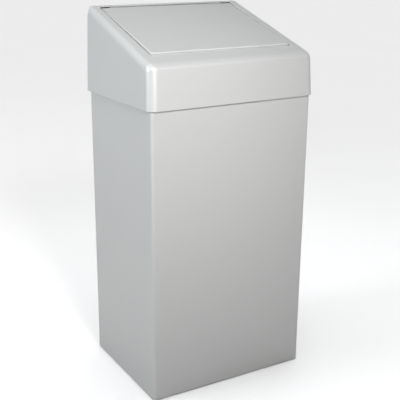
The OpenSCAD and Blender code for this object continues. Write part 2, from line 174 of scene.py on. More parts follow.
class BinStageSettings(bpy.types.PropertyGroup):
    """Camera, lights and floor"""

    lens: FloatProperty(name="Lens", description="Focal length of the camera", default=69.7,
                        subtype="DISTANCE_CAMERA")
    shift: FloatProperty(name="Shift", description="Sideways shift of the camera", default=0.1)
    distance: length("Distance", 1432, "From the camera to its target")
    azimuth: angle("Azimuth", -28.2, "Turn of the camera from the front, towards the left")
    height: angle("Elevation", 17.5, "How far the camera looks down")
    roll: angle("Roll", -0.45, "Roll of the camera")
    key: power("Key", 2.9, "the soft box in front, on the left")
    hood: power("Hood", 1.65, "the narrow soft box on the front of the hood")
    side: power("Side", 1.85, "the soft box on the left")
    top: power("Top", 1.6, "the large soft box overhead")
    rear: power("Rear", 34, "the soft box behind, on the right")
    ground: FloatProperty(name="Ground", description="Strength of the light on the floor alone",
                          default=3.04)
    sky: FloatProperty(name="Sky", description="Strength of the even surrounding light",
                       default=0.5)


SETTINGS = {"bin_sheet": BinSheetSettings, "bin_hood": BinHoodSettings,
            "bin_flap": BinFlapSettings, "bin_finish": BinFinishSettings,
            "bin_stage": BinStageSettings}


def setting(group, name):
    return getattr(getattr(bpy.context.scene, "bin_" + group), name)


def mm(group, name):
    """A length from the settings, in millimetres."""
    return setting(group, name) / MM


def tone_of(name):
    return tuple(setting("finish", name))


def cad_box(node):
    """The lowest and highest corners of a CAD node, in millimetres."""
    low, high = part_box(node)
    return low / MM, high / MM


def cad_middle(node):
    low, high = cad_box(node)
    return (low + high) / 2


# ---- Shapes ----


def block(low, high):
    """A box, and its corners by (right, rear, top)."""
    bm = bmesh.new()
    bm.edges.layers.float.new(WEIGHT)
    bmesh.ops.create_cube(bm, size=2)
    corners = {}
    for vert in bm.verts:
        key = tuple(c > 0 for c in vert.co)
        vert.co = [high[i] if key[i] else low[i] for i in range(3)]
        corners[key] = vert
    bm.normal_update()
    return bm, corners


def face_towards(bm, direction):
    return max(bm.faces, key=lambda f: f.normal.dot(Vector(direction)))


def remove_faces(bm, faces):
    bmesh.ops.delete(bm, geom=faces, context="FACES")


def middle_of(edge):
    return (edge.verts[0].co + edge.verts[1].co) / 2


def edges_where(bm, test):
    """The edges whose middle and direction pass the test."""
    return [e for e in bm.edges
            if test(middle_of(e), (e.verts[1].co - e.verts[0].co).normalized())]


def kept(geom, kind):
    return [item for item in geom if isinstance(item, kind)]


def extruded(bm, edges, way=(0, 0, 0)):
    """Draws edges out. Returns the new vertices and the new edges."""
    made = bmesh.ops.extrude_edge_only(bm, edges=edges)["geom"]
    verts = kept(made, bmesh.types.BMVert)
    bmesh.ops.translate(bm, vec=way, verts=verts)
    return verts, kept(made, bmesh.types.BMEdge)


def everything(bm):
    return bm.verts[:] + bm.edges[:] + bm.faces[:]


def bisected(bm, geom, place, normal, **options):
    bmesh.ops.bisect_plane(bm, geom=geom, dist=1e-4, plane_co=place, plane_no=normal, **options)


def filled(bm):
    """Closes the open ends of a shape."""
    bmesh.ops.holes_fill(bm, edges=[e for e in bm.edges if e.is_boundary])
    bmesh.ops.recalc_face_normals(bm, faces=bm.faces)
    return bm


def rounded(bm, geom, radius, segments=6, affect="EDGES"):
    bmesh.ops.bevel(bm, geom=geom, offset=radius, segments=segments, profile=0.5, affect=affect,
                    offset_type="OFFSET", material=-1)


def turned_out(bm, direction):
    """Makes the faces agree, with the outermost one in that direction pointing that way."""
    bmesh.ops.recalc_face_normals(bm, faces=bm.faces)
    aim = Vector(direction)
    outer = max(bm.faces, key=lambda f: f.calc_center_median().dot(aim) * 1e-3
                + abs(f.normal.dot(aim)))
    if outer.normal.dot(aim) < 0:
        bmesh.ops.reverse_faces(bm, faces=bm.faces)
    return bm


def turned(profile, steps=32, ring=False):
    """A turned piece about Z from its (radius, height) outline, closed on itself for a ring."""
    bm = bmesh.new()
    verts = [bm.verts.new((r, 0, z)) for r, z in profile]
    pairs = list(zip(verts, verts[1:])) + ([(verts[-1], verts[0])] if ring else [])
    edges = [bm.edges.new(pair) for pair in pairs]
    bmesh.ops.spin(bm, geom=verts + edges, cent=(0, 0, 0), axis=(0, 0, 1), angle=FULL_TURN,
                   steps=steps, use_merge=True, use_duplicate=False)
    bmesh.ops.remove_doubles(bm, verts=bm.verts, dist=1e-3)
    bmesh.ops.recalc_face_normals(bm, faces=bm.faces)
    return bm


def rod_shape(radius, low, high, steps=32):
    """A plain round bar about Z, for cutting holes."""
    return turned([(0, low), (radius, low), (radius, high), (0, high)], steps)


def moved(bm, matrix):
    bmesh.ops.transform(bm, matrix=matrix, verts=bm.verts)
    return bm


def mirrored(bm):
    """The shape on the other side of the bin."""
    moved(bm, Matrix.Scale(-1, 4, (1, 0, 0)))
    bmesh.ops.reverse_faces(bm, faces=bm.faces)
    return bm


def copied(bm, places):
    """The shape once at each place."""
    source = everything(bm)
    first = bm.verts[:]
    for place in places:
        copy = bmesh.ops.duplicate(bm, geom=source)["geom"]
        bmesh.ops.transform(bm, matrix=place, verts=kept(copy, bmesh.types.BMVert))
    bmesh.ops.delete(bm, geom=first, context="VERTS")
    return bm


def mesh_of(name, bm):
    """The shape as a mesh. The shape itself is used up."""
    mesh = bpy.data.meshes.new(name)
    bm.to_mesh(mesh)
    bm.free()
    return mesh


def in_scene(name, data):
    obj = bpy.data.objects.new(name, data)
    bpy.context.scene.collection.objects.link(obj)
    return obj


def joined(*shapes):
    """Several shapes in one, side by side."""
    target = shapes[0]
    for other in shapes[1:]:
        mesh = mesh_of("joined", other)
        target.from_mesh(mesh)
        bpy.data.meshes.remove(mesh)
    return target


def across(place=(0, 0, 0)):
    """Lays a shape that is turned about Z across the bin, with its axis through place."""
    return Matrix.Translation(place) @ Matrix.Rotation(RIGHT_ANGLE, 4, "Y")


def both_sides(bm):
    """The shape and its mirror image."""
    return joined(bm, mirrored(bm.copy()))


def modified(bm, *steps):
    """The shape after modifiers, each given as (kind, settings). A cutter is a shape too."""
    obj = in_scene("bench", mesh_of("bench", bm))
    helpers = []
    for kind, settings in steps:
        modifier = obj.modifiers.new(kind, kind)
        for name, value in settings.items():
            if isinstance(value, bmesh.types.BMesh):
                value = in_scene("cutter", mesh_of("cutter", value))
                helpers.append(value)
            setattr(modifier, name, value)
    graph = bpy.context.evaluated_depsgraph_get()
    result = obj.evaluated_get(graph)
    out = bmesh.new()
    out.from_mesh(result.to_mesh())
    result.to_mesh_clear()
    for used in [obj] + helpers:
        mesh = used.data
        bpy.data.objects.remove(used)
        bpy.data.meshes.remove(mesh)
    return out


def weighted_bends(widest, segments=8):
    return "BEVEL", {"width": widest, "segments": segments, "limit_method": "WEIGHT",
                     "use_clamp_overlap": False, "profile": 0.5}


def wall(thickness):
    return "SOLIDIFY", {"thickness": thickness, "offset": -1, "use_even_offset": True,
                        "use_quality_normals": True}


def soft_edges(width, segments=2, limit=40):
    return "BEVEL", {"width": width, "segments": segments, "limit_method": "ANGLE",
                     "angle_limit": math.radians(limit), "profile": 0.5}


def cut_by(shape, operation="DIFFERENCE"):
    return "BOOLEAN", {"operation": operation, "solver": "EXACT", "object": shape}


def weigh(bm, radii, widest):
    """Gives edges their share of the widest bend. radii holds (edges, offset)."""
    layer = bm.edges.layers.float[WEIGHT]
    for edges, offset in radii:
        for edge in edges:
            edge[layer] = offset / widest


def bent_strip(path, width, thick, inner=0.7, bends=4):
    """A strip bent along a path in XZ, as wide as said along Y, with its outside left of the path.

    Its wall then goes inwards, so a bend to the right needs the wall's thickness as well.
    """
    bm = bmesh.new()
    verts = [bm.verts.new((u, -width / 2, v)) for u, v in path]
    edges = [bm.edges.new(pair) for pair in zip(verts, verts[1:])]
    extruded(bm, edges, (0, width, 0))
    bmesh.ops.recalc_face_normals(bm, faces=bm.faces)
    points = [Vector((u, 0, v)) for u, v in path]
    first = min(bm.faces, key=lambda f: (f.calc_center_median()
                                         - (points[0] + points[1]) / 2).length)
    ahead = points[1] - points[0]
    if first.normal.dot(Vector((-ahead.z, 0, ahead.x))) < 0:
        bmesh.ops.reverse_faces(bm, faces=bm.faces)
    for before, here, after in zip(points, points[1:], points[2:]):
        turn = (here - before).cross(after - here).y
        bend = edges_where(bm, lambda mid, way: abs(way.y) > 0.9 and (mid - here).length < 0.01)
        rounded(bm, bend, inner + (thick if turn > 0 else 0), bends)
    return bm


def threaded(radius, low, high, pitch=0.8):
    """The outline of a thread from low to high."""
    turns = max(2, round(abs(high - low) / pitch))
    step = (high - low) / turns
    outline = []
    for i in range(turns):
        outline += [(radius, low + i * step), (radius - 0.3 * pitch, low + (i + 0.5) * step)]
    return outline + [(radius, high)]


def hex_nut(corner_radius, low, high, bore):
    """A chamfered hexagon nut about Z."""
    bm = bmesh.new()
    bmesh.ops.create_cone(bm, cap_ends=True, segments=6, radius1=corner_radius,
                          radius2=corner_radius, depth=high - low)
    moved(bm, Matrix.Translation((0, 0, (low + high) / 2)))
    flat = corner_radius * math.cos(math.pi / 6)
    drop = (corner_radius - flat) * 0.6
    lens = turned([(0, low), (flat, low), (corner_radius, low + drop),
                   (corner_radius, high - drop), (flat, high), (0, high)], 48)
    hole = turned([(0, low - 1), (bore + 0.9, low - 1), (bore + 0.5, low), (bore, low + 0.5),
                   (bore, high - 0.5), (bore + 0.5, high), (bore + 0.9, high + 1),
                   (0, high + 1)], 32)
    return modified(bm, cut_by(lens, "INTERSECT"), cut_by(hole))


# ---- Places ----


def hood_places():
    """The hood's corners and the frame on its slope: X across, Y up the slope, Z out of it."""
    low, high = cad_box("hood_shell")
    lean, slope = setting("hood", "front_lean"), setting("hood", "slope")
    front_y = low.y + mm("hood", "front_height") * math.tan(lean)
    front_z = low.z + mm("hood", "front_height")
    on_slope = Matrix.Translation((0, front_y, front_z)) @ Matrix.Rotation(slope, 4, "X")
    return low, high, on_slope


def side_x(z):
    """The outside of the hood's side at a height."""
    low, high = cad_box("hood_shell")
    return high.x - (z - low.z) * math.tan(setting("hood", "side_lean"))


def pivot_place():
    """The middle of the flap's rod, in the world and on the slope."""
    middle = cad_middle("pivot_rod")
    return middle, hood_places()[2].inverted() @ middle


def flap_places():
    """The flap's frame, its half width, its front and its rear, along the slope."""
    on_slope = hood_places()[2]
    pivot = pivot_place()[1]
    tip = (Matrix.Translation(pivot) @ Matrix.Rotation(-setting("flap", "tilt"), 4, "X")
           @ Matrix.Translation(-pivot))
    back = cad_box("hood_back")[1].y
    slope_end = (back - on_slope.translation.y) / math.cos(setting("hood", "slope"))
    half = cad_box("flap_panel")[1].x
    return on_slope @ tip, half, mm("flap", "front"), slope_end - mm("flap", "rear")


# ---- Finishes ----


class Finish:
    """A material under construction. Patterns lie on the object's own coordinates."""

    def __init__(self, name, base, roughness, metallic=0.0):
        self.material = bpy.data.materials.new(name)
        self.material.use_nodes = True
        self.material.diffuse_color = (*base, 1)
        self.tree = self.material.node_tree
        self.shader = self.tree.nodes["Principled BSDF"]
        self.place = self.add("ShaderNodeTexCoord").outputs["Object"]
        self.shader.inputs["Metallic"].default_value = metallic
        self.base = base
        self.roughness = roughness

    def add(self, kind, options=None, **sockets):
        node = self.tree.nodes.new(kind)
        for name, value in (options or {}).items():
            setattr(node, name, value)
        for name, value in sockets.items():
            socket = node.inputs[int(name[1:])] if name[0] == "n" and name[1:].isdigit() \
                else node.inputs[name.replace("_", " ")]
            if isinstance(value, bpy.types.NodeSocket):
                self.tree.links.new(value, socket)
            else:
                socket.default_value = value
        return node

    def set(self, **sockets):
        """Even values, straight on the shader."""
        for name, value in sockets.items():
            self.shader.inputs[name.replace("_", " ")].default_value = value
        return self

    def noise(self, scale, detail=2.0, stretch=(1, 1, 1), roughness=0.5):
        place = self.place
        if stretch != (1, 1, 1):
            place = self.add("ShaderNodeMapping", Vector=place, Scale=stretch).outputs[0]
        return self.add("ShaderNodeTexNoise", Vector=place, Scale=scale, Detail=detail,
                        Roughness=roughness).outputs["Fac"]

    def cells(self, scale, output="Color", feature="F1"):
        return self.add("ShaderNodeTexVoronoi", {"feature": feature}, Vector=self.place,
                        Scale=scale).outputs[output]

    def ranged(self, value, low, high, start=0.3, end=0.7):
        """The value, spread over low to high."""
        return self.add("ShaderNodeMapRange", Value=value, From_Min=start, From_Max=end,
                        To_Min=low, To_Max=high).outputs[0]

    def times(self, a, b):
        return self.add("ShaderNodeMath", {"operation": "MULTIPLY"}, n0=a, n1=b).outputs[0]

    def plus(self, a, b):
        return self.add("ShaderNodeMath", {"operation": "ADD"}, n0=a, n1=b).outputs[0]

    def mixed(self, factor, a, b):
        """Colour a where the factor is 0 and colour b where it is 1."""
        node = self.add("ShaderNodeMix", {"data_type": "RGBA"})
        for socket, value in ((node.inputs[0], factor), (node.inputs[6], a),
                              (node.inputs[7], b)):
            if isinstance(value, bpy.types.NodeSocket):
                self.tree.links.new(value, socket)
            else:
                socket.default_value = value if isinstance(value, float) else (*value, 1)
        return node.outputs[2]

    def coloured(self, socket):
        self.tree.links.new(socket, self.shader.inputs["Base Color"])

    def mottled(self, scale, detail, dark, light):
        """Soft patches of two shades of the base colour."""
        patches = self.ranged(self.noise(scale, detail), 0.0, 1.0)
        self.coloured(self.mixed(patches, shade(self.base, dark), shade(self.base, light)))

    def rough(self, factor, spread):
        self.tree.links.new(self.ranged(factor, self.roughness - spread,
                                        self.roughness + spread),
                            self.shader.inputs["Roughness"])

    def bumped(self, height, strength, distance):
        bump = self.add("ShaderNodeBump", Height=height, Strength=strength,
                        Distance=distance * MM)
        self.tree.links.new(bump.outputs[0], self.shader.inputs["Normal"])

    def surfaced(self, dull, spread, bumps, strength, distance):
        """Uneven roughness and a fine bump. dull and bumps hold a noise's scale and detail."""
        self.rough(self.noise(*dull), spread)
        self.bumped(self.noise(*bumps), strength, distance)
        return self


def shade(tone, factor):
    return tuple(min(1, c * factor) for c in tone)


def powder_coat():
    """Semi-gloss polyester powder: orange peel, a little unevenness, dust towards the floor."""
    base = tone_of("coat")
    coat = Finish("powder_coat", base, setting("finish", "coat_gloss"))
    broad = coat.noise(7, 3)
    cloud = coat.mixed(coat.ranged(broad, 0.0, 1.0), shade(base, 0.985), shade(base, 1.01))
    speck = coat.ranged(coat.noise(2600, 1), 0.0, 0.06, 0.62, 0.8)
    specked = coat.mixed(speck, cloud, shade(base, 0.7))
    height = coat.add("ShaderNodeSeparateXYZ", Vector=coat.place).outputs["Z"]
    low = coat.ranged(height, 1.0, 0.0, 0.0, 0.14)
    dust = coat.times(coat.times(low, coat.ranged(coat.noise(38, 5), 0.2, 1.0)), 0.12)
    coat.coloured(coat.mixed(dust, specked, (0.55, 0.52, 0.48)))
    coat.rough(coat.plus(coat.times(broad, 0.5), coat.times(coat.noise(150, 3), 0.5)), 0.035)
    peel = coat.plus(coat.noise(420, 1.5), coat.times(coat.noise(9, 1), 2.5))
    coat.bumped(peel, setting("finish", "coat_peel"), 0.35)
    return coat.set(IOR=1.45, Coat_Weight=0.05, Coat_Roughness=0.25)


def zinc_sheet():
    """Hot-dip zinc with its spangle, dulled a little."""
    base = tone_of("zinc")
    zinc = Finish("zinc_sheet", base, 0.42, 1.0)
    spangle = zinc.cells(170)
    grey = zinc.add("ShaderNodeRGBToBW", Color=spangle).outputs[0]
    zinc.coloured(zinc.mixed(zinc.ranged(grey, 0.0, 1.0, 0.2, 0.8), shade(base, 0.86),
                             shade(base, 1.12)))
    zinc.rough(zinc.plus(zinc.times(grey, 0.5), zinc.times(zinc.noise(60, 4), 0.5)), 0.1)
    zinc.bumped(zinc.noise(900, 2), 0.12, 0.15)
    return zinc


def plated(name, roughness, draw, tone=1.0):
    """Zinc plating over a drawn or turned piece, with lines along it."""
    zinc = Finish(name, shade(tone_of("zinc"), tone), roughness, 1.0)
    lines = zinc.noise(800, 3, draw)
    zinc.mottled(220, 3, 0.9, 1.08)
    zinc.rough(zinc.plus(zinc.times(lines, 0.6), zinc.times(zinc.noise(90, 4), 0.4)), 0.09)
    zinc.bumped(lines, 0.2, 0.06)
    return zinc


def zinc_wire():
    return plated("zinc_wire", 0.34, (0.12, 0.12, 1))


def zinc_fastener():
    return plated("zinc_fastener", 0.28, (1, 1, 1), 1.08)


def rivet():
    """Bright aluminium."""
    metal = Finish("rivet", (0.74, 0.75, 0.76), 0.33, 1.0)
    metal.coloured(metal.mixed(metal.ranged(metal.noise(500, 3), 0.0, 1.0),
                               (0.68, 0.69, 0.70), (0.80, 0.81, 0.82)))
    return metal.surfaced((700, 3), 0.08, (1300, 2), 0.15, 0.05)


def weight_steel():
    """Hot-rolled bar: blue-black mill scale, rust freckles and rolling marks."""
    base = tone_of("mill_scale")
    steel = Finish("weight_steel", base, 0.52, 0.6)
    scale = steel.mixed(steel.ranged(steel.noise(30, 6, (0.3, 1, 1)), 0.0, 1.0),
                        shade(base, 0.7), shade(base, 1.7))
    freckle = steel.times(steel.ranged(steel.noise(260, 5), 0.0, 1.0, 0.58, 0.7), 0.7)
    steel.coloured(steel.mixed(freckle, scale, (0.20, 0.085, 0.035)))
    steel.rough(steel.noise(120, 5), 0.14)
    steel.bumped(steel.plus(steel.noise(350, 5), steel.noise(90, 3, (0.2, 1, 1))), 0.3, 0.25)
    return steel


def spring_steel():
    """Blackened and oiled."""
    steel = Finish("spring_steel", tone_of("spring"), 0.36, 0.7)
    steel.mottled(420, 4, 0.6, 1.8)
    return steel.surfaced((600, 3), 0.1, (1500, 2), 0.15, 0.05)


def bush_nylon():
    """Moulded natural nylon, slightly translucent."""
    nylon = Finish("bush_nylon", tone_of("nylon"), 0.42)
    nylon.mottled(160, 3, 0.94, 1.04)
    nylon.surfaced((500, 3), 0.07, (1100, 2), 0.1, 0.05)
    return nylon.set(Subsurface_Weight=0.15, Subsurface_Scale=0.002)


def rubber(name, roughness, dusting):
    """Moulded black rubber, greyed by dust where it stands out."""
    base = tone_of("rubber")
    black = Finish(name, base, roughness)
    dust = black.times(black.ranged(black.noise(90, 5), 0.0, 1.0, 0.4, 0.75), dusting)
    black.coloured(black.mixed(dust, base, (0.16, 0.15, 0.14)))
    black.surfaced((240, 4), 0.09, (1600, 3), 0.35, 0.08)
    return black.set(Specular_IOR_Level=0.4)


def foot_rubber():
    return rubber("foot_rubber", 0.72, 0.7)


def buffer_rubber():
    return rubber("buffer_rubber", 0.62, 0.25)


def pale_floor():
    """Pale, even studio floor."""
    floor = Finish("pale_floor", tone_of("floor"), 0.7)
    floor.mottled(1.5, 3, 0.995, 1.005)
    floor.rough(floor.noise(4, 3), 0.04)
    return floor


FINISHES = (powder_coat, zinc_sheet, zinc_wire, zinc_fastener, rivet, spring_steel,
            weight_steel, bush_nylon, foot_rubber, buffer_rubber, pale_floor)


def finish_of(name):
    """The material of a slot, made when it is first asked for."""
    if name not in bpy.data.materials:
        {f.__name__: f for f in FINISHES}[name]()
    return bpy.data.materials[name]


def publish(name, bm, slot, body, *nodes, crease=32):
    """Scales a shape to metres and makes it a finished piece that stands for its CAD nodes."""
    moved(bm, Matrix.Scale(MM, 4))
    bmesh.ops.remove_doubles(bm, verts=bm.verts, dist=2e-6)
    mesh = mesh_of(name, bm)
    mesh.materials.append(finish_of(slot))
    mesh.shade_smooth()
    mesh.set_sharp_from_angle(angle=math.radians(crease))
    obj = in_scene(name, mesh)
    weights = obj.modifiers.new("Weighted normals", "WEIGHTED_NORMAL")
    weights.keep_sharp = True
    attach(obj, body)
    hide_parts(*nodes)
    return obj


# ---- Body ----


def make_wrap():
    """Front and sides in one sheet, with the rim and the rear flanges turned in."""
    low, high = cad_box("body_wrap")
    sheet, rim = mm("sheet", "sheet"), mm("sheet", "rim")
    bm = block(low, high)[0]
    remove_faces(bm, [face_towards(bm, d) for d in ((0, 0, 1), (0, 0, -1), (0, 1, 0))])
    upright = edges_where(bm, lambda mid, way: abs(way.z) > 0.9 and mid.y < 0)
    rounded(bm, upright, mm("sheet", "corner"), 8)
    straight = [e for e in bm.edges if e.calc_length() > 2 * rim
                and min(v.co.z for v in e.verts) > high.z - 1]
    inner_x, inner_front = high.x - rim, low.y + rim
    inner_rear = high.y - 2 * sheet - 0.1
    for vert in extruded(bm, straight)[0]:
        vert.co.x = max(-inner_x, min(inner_x, vert.co.x))
        vert.co.y = max(inner_front, min(inner_rear, vert.co.y))
    rear = edges_where(bm, lambda mid, way: abs(way.z) > 0.9 and mid.y > high.y - 1)
    for vert in extruded(bm, rear)[0]:
        vert.co.x -= math.copysign(mm("sheet", "back_flange"), vert.co.x)
    turned_out(bm, (0, -1, 0))
    back_corner = mm("sheet", "back_corner")
    weigh(bm, [(straight, mm("sheet", "fold")), (rear, back_corner)], back_corner)
    bm = modified(bm, weighted_bends(back_corner, 5), wall(sheet),
                  soft_edges(mm("sheet", "soft_edge")))
    publish("front_and_side_sheet", bm, "powder_coat", "body", "body_wrap")


def wall_holes():
    """Cutters for the four wall fixing holes."""
    low, high = cad_box("body_wrap")
    x = high.x - mm("sheet", "hole_in")
    up = mm("sheet", "hole_up")
    hole = rod_shape(mm("sheet", "hole"), -5, 5)
    return copied(hole, [Matrix.Translation((side * x, high.y, z))
                         @ Matrix.Rotation(-RIGHT_ANGLE, 4, "X")
                         for side in (-1, 1) for z in (low.z + up, high.z - up)])


def make_rear_panel():
    """Back of the body, behind the flanges, with its own rim."""
    low, high = cad_box("rear_panel")
    sheet, rim = mm("sheet", "sheet"), mm("sheet", "rim")
    notch = high.x - cad_box("body_wrap")[1].x + rim + 1
    bm = bmesh.new()
    bmesh.ops.create_grid(bm, x_segments=3, y_segments=1, size=1)
    columns = (low.x, low.x + notch, high.x - notch, high.x)
    for vert in bm.verts:
        column = round((vert.co.x + 1) * 1.5)
        vert.co = (columns[column], high.y, high.z if vert.co.y > 0 else low.z)
    top = edges_where(bm, lambda mid, way: mid.z > high.z - 1 and abs(mid.x) < 1)
    extruded(bm, top, (0, -rim - sheet, 0))
    turned_out(bm, (0, 1, 0))
    rounded(bm, top, mm("sheet", "fold"), 4)
    bm = modified(bm, wall(sheet), cut_by(wall_holes()), soft_edges(mm("sheet", "soft_edge")))
    publish("rear_sheet", bm, "powder_coat", "body", "rear_panel")


def foot_places():
    """The middles of the four feet."""
    low, high = cad_box("body_wrap")
    inset = mm("sheet", "foot_in")
    return [Matrix.Translation((x, y, 0)) for x in (low.x + inset, high.x - inset)
            for y in (low.y + inset, high.y - inset)]


def make_base_pan():
    """Tray that closes the body at the bottom."""
    low, high = cad_box("base_pan")
    sheet = mm("sheet", "sheet")
    bm = block(low, high)[0]
    remove_faces(bm, [face_towards(bm, (0, 0, 1))])
    front = edges_where(bm, lambda mid, way: abs(way.z) > 0.9 and mid.y < 0)
    rounded(bm, front, mm("sheet", "corner") - sheet, 6)
    rear = edges_where(bm, lambda mid, way: abs(way.z) > 0.9 and mid.y > 0)
    rounded(bm, rear, mm("sheet", "back_corner") - 0.5, 3)
    rounded(bm, edges_where(bm, lambda mid, way: mid.z < low.z + 0.1), mm("sheet", "fold"), 4)
    turned_out(bm, (0, 0, -1))
    holes = copied(rod_shape(FOOT_HOLE, low.z - 3, low.z + 3), foot_places())
    bm = modified(bm, wall(sheet), cut_by(holes), soft_edges(mm("sheet", "soft_edge")))
    publish("base_tray", bm, "powder_coat", "body", "base_pan")


def make_rivets():
    """Blind rivets through the rear flanges and the rear panel, in two columns."""
    high = cad_box("body_wrap")[1]
    node_low, node_high = cad_box("back_rivets")
    first, last = node_low.z + RIVET_HEAD, node_high.z - RIVET_HEAD
    pitch = (last - first) / (RIVET_ROWS - 1)
    x = high.x - mm("sheet", "back_flange") / 2
    bm = turned([(0, 0.42), (0.8, 0.42), (1.05, 0.76), (1.5, 0.8), (2.4, 0.7), (3.3, 0.42),
                 (3.75, 0.1), (RIVET_HEAD, 0), (1.95, 0), (1.95, -2), (2.6, -2.25), (2.6, -3),
                 (2, -3.45), (0, -3.5)], 24)
    copied(bm, [Matrix.Translation((side * x, high.y, first + row * pitch))
                @ Matrix.Rotation(-RIGHT_ANGLE, 4, "X")
                for side in (-1, 1) for row in range(RIVET_ROWS)])
    publish("blind_rivets", bm, "rivet", "body", "back_rivets", crease=50)


def make_feet():
    """Moulded feet with a recess for the screw and a grooved edge."""
    top = cad_box("feet")[1].z
    bm = turned([(2.6, top), (2.6, FOOT_SEAT), (5.7, FOOT_SEAT), (6, 4.2), (6, 0.4),
                 (6.4, 0), (8.2, 0), (8.6, 0.5), (9.4, 0.5), (9.8, 0), (11.5, 0),
                 (12.1, 0.4), (12.9, 3.4), (12.6, 3.8), (12.7, 4.2), (13.2, 4.6),
                 (13.95, 7.5), (13.7, top)], 40, True)
    publish("rubber_feet", copied(bm, foot_places()), "foot_rubber", "body", "feet", crease=50)


def make_foot_screws():
    """Pan-head screws with a cross recess, and their nuts."""
    low, high = cad_box("foot_screws")
    bm = turned([(0, low.z), (2.2, low.z + 0.08), (3.5, low.z + 0.6), (4.3, low.z + 1.5),
                 (4.5, low.z + 2.4), (4.5, FOOT_SEAT - 0.2), (4.3, FOOT_SEAT),
                 (2.5, FOOT_SEAT)]
                + threaded(2.5, 8.2, high.z - 0.6) + [(2.0, high.z), (0, high.z)], 32)
    slots = [block((-a, -b, low.z - 1), (a, b, low.z + 1.5))[0]
             for a, b in ((2.2, 0.45), (0.45, 2.2))]
    bm = modified(bm, cut_by(slots[0]), cut_by(slots[1]))
    publish("foot_screw_set", copied(bm, foot_places()), "zinc_fastener", "body",
            "foot_screws")
    low, high = cad_box("foot_nuts")
    bm = copied(hex_nut(4.6, low.z, high.z, FOOT_HOLE), foot_places())
    publish("foot_nut_set", bm, "zinc_fastener", "body", "foot_nuts")


def make_bag_frame():
    """Wire bent to a rounded rectangle and butt-welded at the back."""
    low, high = cad_box("bag_frame")
    radius = (high.z - low.z) / 2
    bend = mm("sheet", "wire_bend")
    x, z = high.x - radius, (low.z + high.z) / 2
    front, rear = low.y + radius, high.y - radius
    bm = bmesh.new()
    bmesh.ops.create_circle(bm, segments=16, radius=radius)
    moved(bm, across((0, rear, z)))
    loop = bm.edges[:]

    run, depth = x - bend, rear - front - 2 * bend
    for way, centre in (((run, 0, 0), (run, rear - bend, z)),
                        ((0, -depth, 0), (run, front + bend, z)),
                        ((-2 * run, 0, 0), (-run, front + bend, z)),
                        ((0, depth, 0), (-run, rear - bend, z))):
        loop = extruded(bm, loop, way)[1]
        made = bmesh.ops.spin(bm, geom=loop, cent=centre, axis=(0, 0, -1), angle=RIGHT_ANGLE,
                              steps=8, use_duplicate=False)["geom_last"]
        loop = kept(made, bmesh.types.BMEdge)
    extruded(bm, loop, (run, 0, 0))
    bmesh.ops.remove_doubles(bm, verts=bm.verts, dist=0.01)
    turned_out(bm, (0, 0, 1))
    bead = turned([(2.4, -2.6), (2.7, -2.1), (2.95, -1.2), (2.85, -0.5), (3.0, 0.3), (2.9, 1.1),
                   (2.7, 2), (2.4, 2.6)], 24)
    moved(filled(bead), across((0, rear, z)))
    publish("bag_wire", joined(bm, bead), "zinc_wire", "body", "bag_frame", crease=50)


def make_frame_tabs():
    """Four bent tabs on the side walls that the wire lies on."""
    low, high = cad_box("frame_tabs")
    wire_low = cad_box("bag_frame")[0].z
    middle = (low.y + high.y) / 2
    width, lip = 26, 141.8
    strip = bent_strip([(lip, high.z), (lip, wire_low), (high.x, wire_low), (high.x, low.z)],
                       width, STRIP)
    bm = modified(strip, wall(STRIP), soft_edges(SMALL_EDGE))
    half = (high.y - low.y - width) / 2
    around = [Matrix.Translation((0, middle, 0)) @ turn @ Matrix.Translation((0, y, 0))
              for turn in (Matrix.Identity(4), Matrix.Rotation(math.pi, 4, "Z"))
              for y in (-half, half)]
    publish("wire_tabs", copied(bm, around), "powder_coat", "body", "frame_tabs")


# ---- Hood ----


